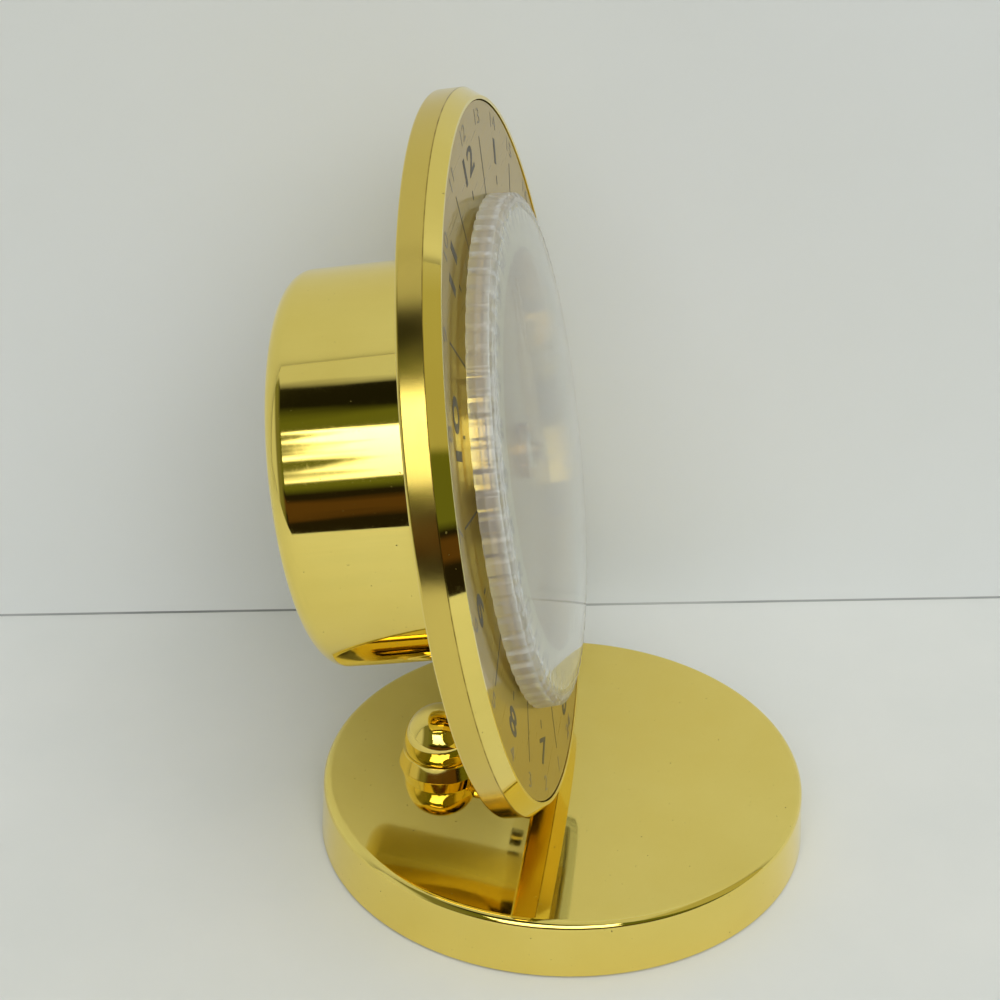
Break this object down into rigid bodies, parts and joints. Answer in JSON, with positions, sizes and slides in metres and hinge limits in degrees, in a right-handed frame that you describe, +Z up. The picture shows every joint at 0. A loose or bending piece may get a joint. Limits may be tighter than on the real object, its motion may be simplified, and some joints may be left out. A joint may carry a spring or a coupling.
{
  "type": "desk clock with calendar",
  "caption": "Round desk clock on a ball swivel: polished foot, tilting disc dial, turning fluted clear cap with date ring, and a rear movement drum.",
  "frame": {"origin": "centre of the foot underside, on the surface that the clock stands on", "axes": "+Z up; the dial faces -Y, with the head leaned back and a trace to +X as it was last set; +X is to the right of a person who reads the dial"},
  "size_m": [0.1392, 0.1077, 0.1543],
  "materials": {
    "polished_gold": "electroplated gold over polished spun brass, mirror bright",
    "turned_gold": "electroplated gold over turned brass, polished",
    "satin_dial": "champagne satin-brushed plate with dark print and clear lacquer",
    "printed_ring": "pale champagne printed ring",
    "clear_acrylic": "clear moulded acrylic, fluted edge",
    "hand_gold": "gold plate on stamped brass",
    "black_plastic": "black moulded plastic, fine texture",
    "white_plastic": "natural white acetal, machined or moulded",
    "nylon": "natural nylon",
    "zinc_steel": "bright zinc-plated steel",
    "cast_weight": "turned iron, blackened",
    "green_felt": "dark green wool felt",
    "brass_gear": "bright stamped brass",
    "battery_jacket": "plain printed foil jacket",
    "circuit_board": "green solder mask on laminate",
    "copper_winding": "enamelled copper wire"
  },
  "bodies": {
    "foot": {"foot_shell": "polished_gold", "foot_weight": "cast_weight", "foot_felt": "green_felt", "socket_collar": "turned_gold"},
    "swivel_bolt": {"tension_bolt": "zinc_steel", "ball_washer": "zinc_steel", "disc_springs": "zinc_steel", "lock_nut": "zinc_steel"},
    "liner": {"friction_liner": "nylon"},
    "head": {"ball_shell": "turned_gold", "neck_post": "turned_gold", "neck_washer": "zinc_steel", "neck_nut": "zinc_steel", "head_shell": "polished_gold", "drum_case": "polished_gold", "dial_plate": "satin_dial", "dial_posts": "brass_gear", "rear_screws": "zinc_steel", "rear_cap": "black_plastic", "crystal_guide": "turned_gold", "guide_screws": "zinc_steel", "movement_front": "white_plastic", "movement_back": "black_plastic", "bushing_nut": "brass_gear", "battery": "battery_jacket", "battery_contacts": "zinc_steel", "circuit_board": "circuit_board", "drive_coil": "copper_winding", "coil_core": "zinc_steel"},
    "crystal": {"crystal_cap": "clear_acrylic", "date_ring": "printed_ring"},
    "seconds": {"second_arbor": "zinc_steel", "second_hand": "hand_gold"},
    "minutes": {"minute_pinion": "brass_gear", "minute_hand": "hand_gold"},
    "hours": {"hour_wheel": "white_plastic", "hour_hand": "hand_gold"},
    "setter": {"motion_wheel": "white_plastic", "setting_shaft": "zinc_steel", "setting_knob": "black_plastic"}
  },
  "joints": [
    {"name": "turn", "type": "hinge", "parent": "foot", "child": "swivel_bolt", "pos_m": [0, 0.0253, 0.0178], "axis": [0, 0, 1], "continuous": true},
    {"name": "lean", "type": "hinge", "parent": "swivel_bolt", "child": "liner", "pos_m": [0, 0.0253, 0.0178], "axis": [0, 1, 0], "range_deg": [-8.7, 7.3]},
    {"name": "tilt", "type": "hinge", "parent": "liner", "child": "head", "pos_m": [0, 0.0253, 0.0178], "axis": [0.9999, 0, -0.0122], "range_deg": [-10, 7]},
    {"name": "cap_turn", "type": "hinge", "parent": "head", "child": "crystal", "pos_m": [0.00085, 0.00585, 0.08703], "axis": [0.0022, -0.9842, 0.1771], "continuous": true},
    {"name": "seconds_turn", "type": "hinge", "parent": "head", "child": "seconds", "pos_m": [0.00084, 0.00979, 0.08632], "axis": [-0.0022, 0.9842, -0.1771], "continuous": true},
    {"name": "minutes_turn", "type": "hinge", "parent": "head", "child": "minutes", "pos_m": [0.00084, 0.00979, 0.08632], "axis": [-0.0022, 0.9842, -0.1771], "continuous": true},
    {"name": "hours_turn", "type": "hinge", "parent": "head", "child": "hours", "pos_m": [0.00084, 0.00979, 0.08632], "axis": [-0.0022, 0.9842, -0.1771], "continuous": true},
    {"name": "knob_turn", "type": "hinge", "parent": "head", "child": "setter", "pos_m": [0.00096, 0.01979, 0.09672], "axis": [-0.0022, 0.9842, -0.1771], "continuous": true}
  ],
  "couplings": [
    {"joint": "minutes_turn", "follows": "seconds_turn", "ratio": 0.016667},
    {"joint": "hours_turn", "follows": "seconds_turn", "ratio": 0.0013889},
    {"joint": "knob_turn", "follows": "seconds_turn", "ratio": -0.0055556}
  ]
}
